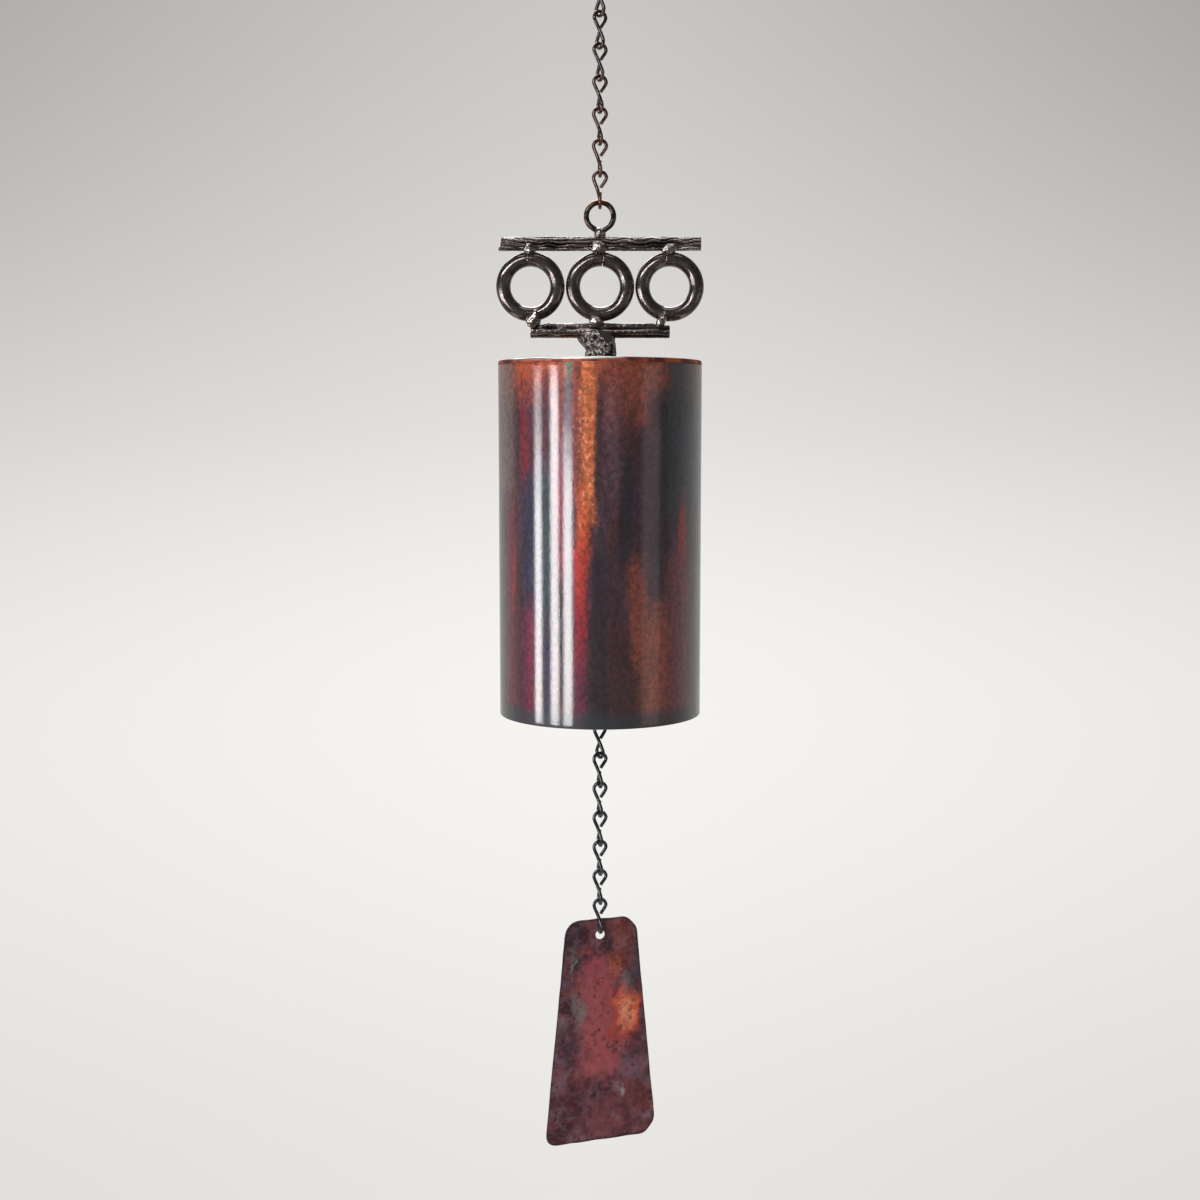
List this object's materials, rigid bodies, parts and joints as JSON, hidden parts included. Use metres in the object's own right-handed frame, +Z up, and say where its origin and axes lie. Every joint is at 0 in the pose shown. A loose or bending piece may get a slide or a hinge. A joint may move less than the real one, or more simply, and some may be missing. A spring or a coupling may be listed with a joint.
{
  "type": "wind bell",
  "caption": "Steel tube bell that hangs on a jack chain under a welded ring ornament, with a clapper on wire hangers inside and a flat tapered wind sail on a chain below.",
  "frame": {"origin": "inside top of the S-hook's upper bend, where the bell hangs", "axes": "+Z up, -Y to the front, +X to the right along the ornament's bars"},
  "size_m": [0.0902, 0.0888, 0.5439],
  "materials": {
    "dark_chain": "brown-black steel wire with copper-coloured edges, satin",
    "black_chain": "blue-black steel wire, satin",
    "dark_bronze": "heat-darkened steel under clear lacquer, glossy",
    "weld_metal": "weld beads, heat-darkened, glossy",
    "copper_patina": "streaked heat colours, orange to crimson and navy, under glossy clear lacquer",
    "bright_seam": "ground weld seam, bright",
    "bare_steel": "bare steel, dull",
    "sail_patina": "hammered, heat-coloured dark red under clear lacquer"
  },
  "bodies": {
    "hook": {"s_hook": "bare_steel"},
    "upper_link_1": {"upper_link_1": "dark_chain"},
    "upper_link_2": {"upper_link_2": "dark_chain"},
    "upper_link_3": {"upper_link_3": "dark_chain"},
    "upper_link_4": {"upper_link_4": "dark_chain"},
    "upper_link_5": {"upper_link_5": "dark_chain"},
    "upper_link_6": {"upper_link_6": "dark_chain"},
    "upper_link_7": {"upper_link_7": "dark_chain"},
    "bell": {"hanger_eye": "dark_bronze", "hanger_eye_weld": "weld_metal", "top_bar": "dark_bronze", "bottom_bar": "dark_bronze", "ring_left": "dark_bronze", "ring_centre": "dark_bronze", "ring_right": "dark_bronze", "weld_top_left_front": "weld_metal", "weld_bottom_left_front": "weld_metal", "weld_top_left_back": "weld_metal", "weld_bottom_left_back": "weld_metal", "weld_top_centre_front": "weld_metal", "weld_bottom_centre_front": "weld_metal", "weld_top_centre_back": "weld_metal", "weld_bottom_centre_back": "weld_metal", "weld_top_right_front": "weld_metal", "weld_bottom_right_front": "weld_metal", "weld_top_right_back": "weld_metal", "weld_bottom_right_back": "weld_metal", "stem": "weld_metal", "stem_weld": "weld_metal", "top_plate": "bare_steel", "top_seam": "bright_seam", "bell_tube": "copper_patina", "inner_eye": "bare_steel", "inner_weld_front": "weld_metal", "inner_weld_back": "weld_metal"},
    "clapper_hanger": {"clapper_hanger": "bare_steel"},
    "clapper": {"clapper": "bare_steel", "clapper_wire": "bare_steel"},
    "lower_link_1": {"lower_link_1": "black_chain"},
    "lower_link_2": {"lower_link_2": "black_chain"},
    "lower_link_3": {"lower_link_3": "black_chain"},
    "lower_link_4": {"lower_link_4": "black_chain"},
    "lower_link_5": {"lower_link_5": "black_chain"},
    "lower_link_6": {"lower_link_6": "black_chain"},
    "lower_link_7": {"lower_link_7": "black_chain"},
    "lower_link_8": {"lower_link_8": "black_chain"},
    "sail": {"wind_sail": "sail_patina"}
  },
  "joints": [
    {"name": "upper_link_1_swing", "type": "hinge", "parent": "hook", "child": "upper_link_1", "pos_m": [0, 0, -0.02875], "axis": [-0.5878, 0.809, 0], "range_deg": [-60, 60]},
    {"name": "upper_link_2_swing", "type": "hinge", "parent": "upper_link_1", "child": "upper_link_2", "pos_m": [0, 0, -0.03982], "axis": [-0.866, -0.5, 0], "range_deg": [-60, 60]},
    {"name": "upper_link_3_swing", "type": "hinge", "parent": "upper_link_2", "child": "upper_link_3", "pos_m": [0, 0, -0.05509], "axis": [0.5, -0.866, 0], "range_deg": [-60, 60]},
    {"name": "upper_link_4_swing", "type": "hinge", "parent": "upper_link_3", "child": "upper_link_4", "pos_m": [0, 0, -0.06661], "axis": [0.9511, 0.309, 0], "range_deg": [-60, 60]},
    {"name": "upper_link_5_swing", "type": "hinge", "parent": "upper_link_4", "child": "upper_link_5", "pos_m": [0, 0, -0.08188], "axis": [0.309, -0.9511, 0], "range_deg": [-60, 60]},
    {"name": "upper_link_6_swing", "type": "hinge", "parent": "upper_link_5", "child": "upper_link_6", "pos_m": [0, 0, -0.09341], "axis": [0.9945, 0.1045, 0], "range_deg": [-60, 60]},
    {"name": "upper_link_7_swing", "type": "hinge", "parent": "upper_link_6", "child": "upper_link_7", "pos_m": [0, 0, -0.10869], "axis": [-0.1045, 0.9945, 0], "range_deg": [-60, 60]},
    {"name": "bell_swing", "type": "hinge", "parent": "upper_link_7", "child": "bell", "pos_m": [0, 0, -0.1198], "axis": [-1, 0, 0], "range_deg": [-60, 60]},
    {"name": "hanger_swing", "type": "hinge", "parent": "bell", "child": "clapper_hanger", "pos_m": [0, 0, -0.1976], "axis": [0, 1, 0], "range_deg": [-11.8, 11.8]},
    {"name": "clapper_swing", "type": "hinge", "parent": "clapper_hanger", "child": "clapper", "pos_m": [0, 0, -0.2859], "axis": [0, -1, 0], "range_deg": [-30, 30]},
    {"name": "lower_link_1_swing", "type": "hinge", "parent": "clapper", "child": "lower_link_1", "pos_m": [0, 0, -0.3369], "axis": [0, 1, 0], "range_deg": [-60, 60]},
    {"name": "lower_link_2_swing", "type": "hinge", "parent": "lower_link_1", "child": "lower_link_2", "pos_m": [0, 0, -0.34802], "axis": [-0.866, -0.5, 0], "range_deg": [-60, 60]},
    {"name": "lower_link_3_swing", "type": "hinge", "parent": "lower_link_2", "child": "lower_link_3", "pos_m": [0, 0, -0.36329], "axis": [0.5, -0.866, 0], "range_deg": [-60, 60]},
    {"name": "lower_link_4_swing", "type": "hinge", "parent": "lower_link_3", "child": "lower_link_4", "pos_m": [0, 0, -0.37482], "axis": [-0.9613, -0.2756, 0], "range_deg": [-60, 60]},
    {"name": "lower_link_5_swing", "type": "hinge", "parent": "lower_link_4", "child": "lower_link_5", "pos_m": [0, 0, -0.39009], "axis": [0.2756, -0.9613, 0], "range_deg": [-60, 60]},
    {"name": "lower_link_6_swing", "type": "hinge", "parent": "lower_link_5", "child": "lower_link_6", "pos_m": [0, 0, -0.40161], "axis": [0.9613, 0.2756, 0], "range_deg": [-60, 60]},
    {"name": "lower_link_7_swing", "type": "hinge", "parent": "lower_link_6", "child": "lower_link_7", "pos_m": [0, 0, -0.41689], "axis": [-0.2756, 0.9613, 0], "range_deg": [-60, 60]},
    {"name": "lower_link_8_swing", "type": "hinge", "parent": "lower_link_7", "child": "lower_link_8", "pos_m": [0, 0, -0.42841], "axis": [0.9511, 0.309, 0], "range_deg": [-60, 60]},
    {"name": "sail_swing", "type": "hinge", "parent": "lower_link_8", "child": "sail", "pos_m": [0, 0, -0.44368], "axis": [0.309, -0.9511, 0], "range_deg": [-20, 20]}
  ]
}
